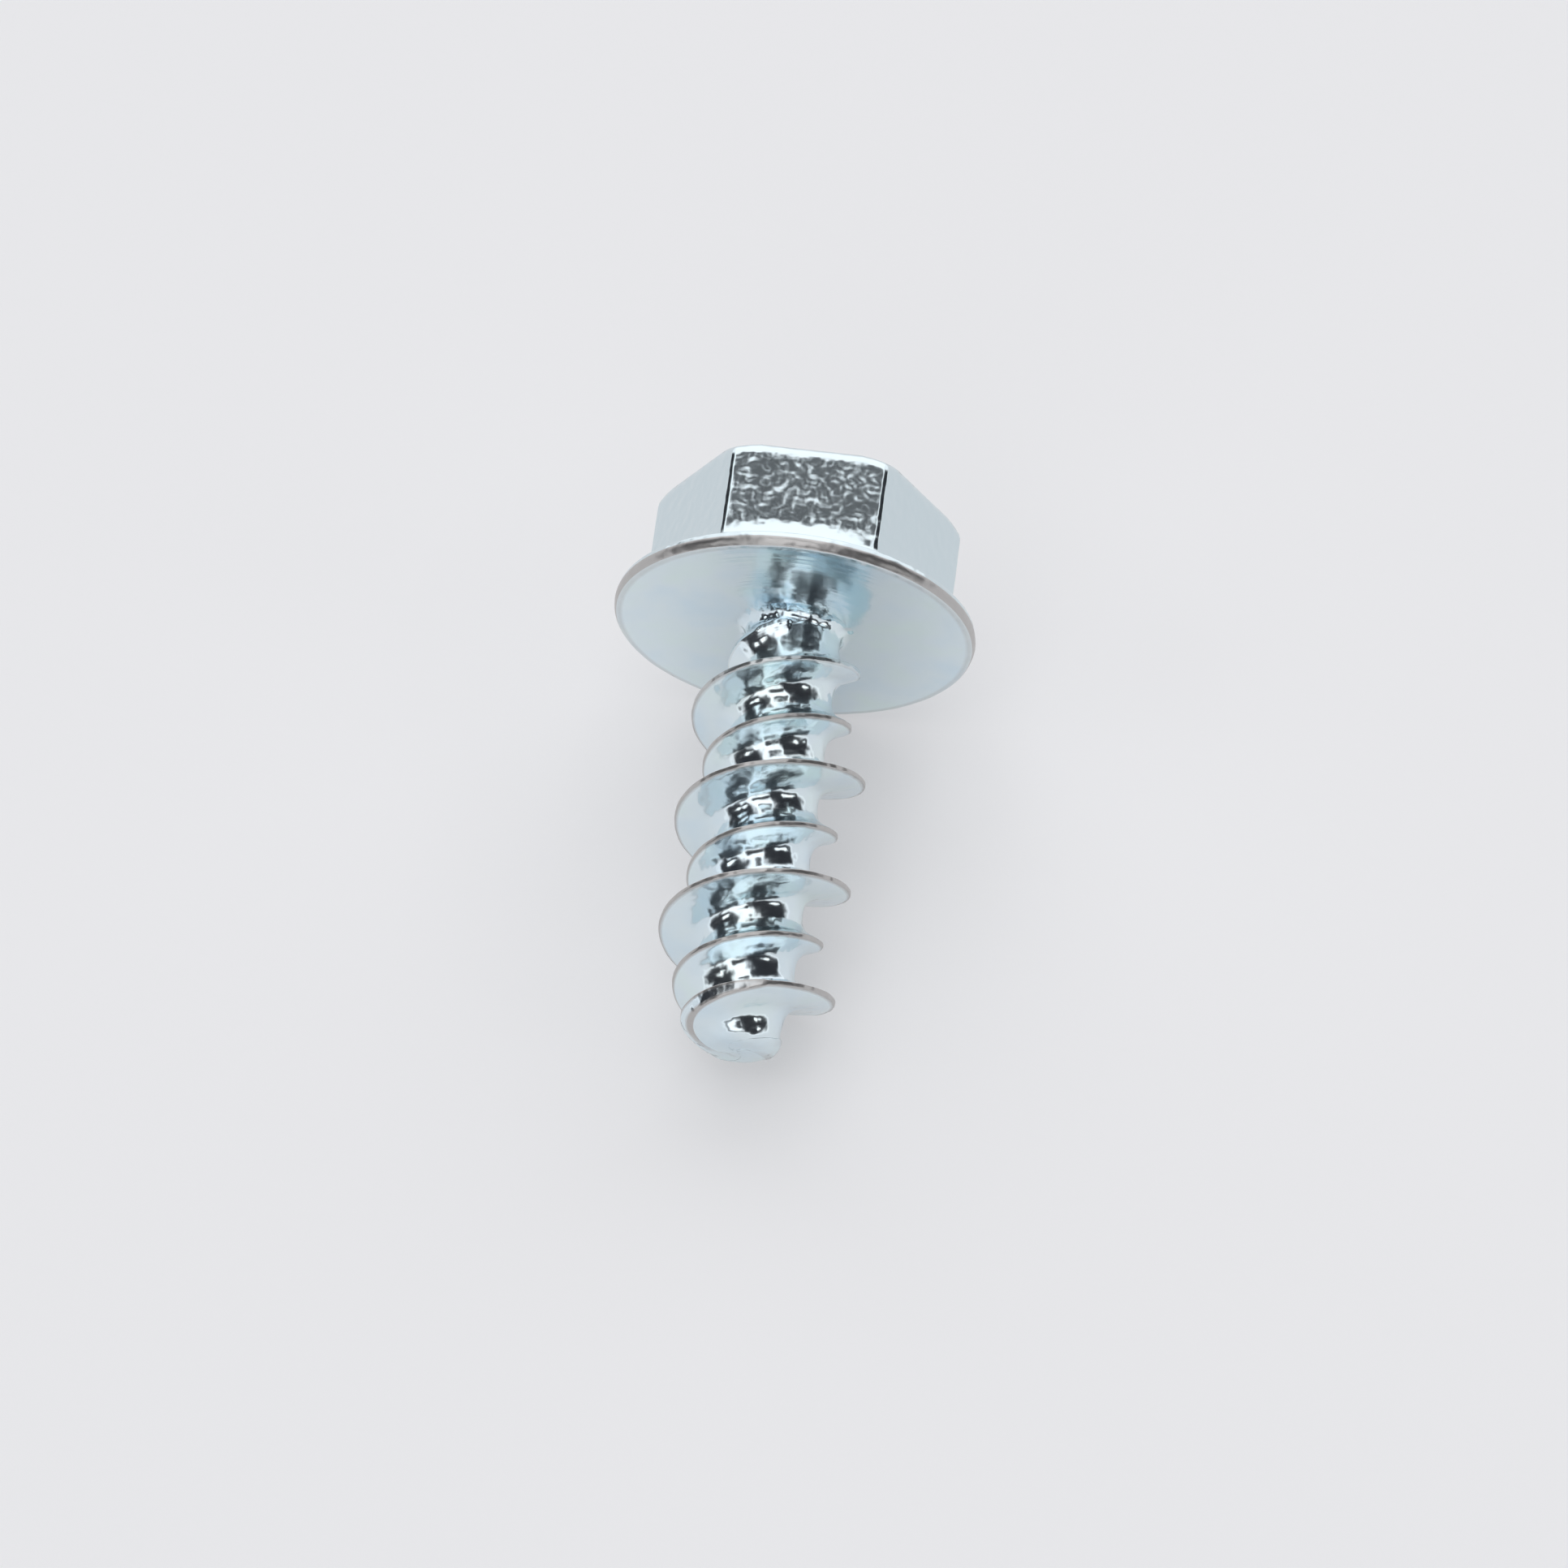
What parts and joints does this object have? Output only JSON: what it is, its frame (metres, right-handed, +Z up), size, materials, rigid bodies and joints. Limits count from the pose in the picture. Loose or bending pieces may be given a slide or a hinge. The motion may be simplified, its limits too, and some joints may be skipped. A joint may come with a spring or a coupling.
{
  "type": "hex washer head screw",
  "caption": "Short hex washer head screw with a coarse high and low thread, a blunt tip and bright zinc plating, for driving into plastic or soft material.",
  "frame": {"origin": "on the table, at the centre of the lying screw's box", "axes": "+Z up from the table; the screw's axis lies in the YZ plane, with the head towards +Y and the tip towards -Y and down"},
  "size_m": [0.0086, 0.0148, 0.0085],
  "materials": {
    "zinc_plating": "bright blue-white zinc plating on steel"
  },
  "bodies": {
    "root": {"screw": "zinc_plating"}
  },
  "joints": []
}
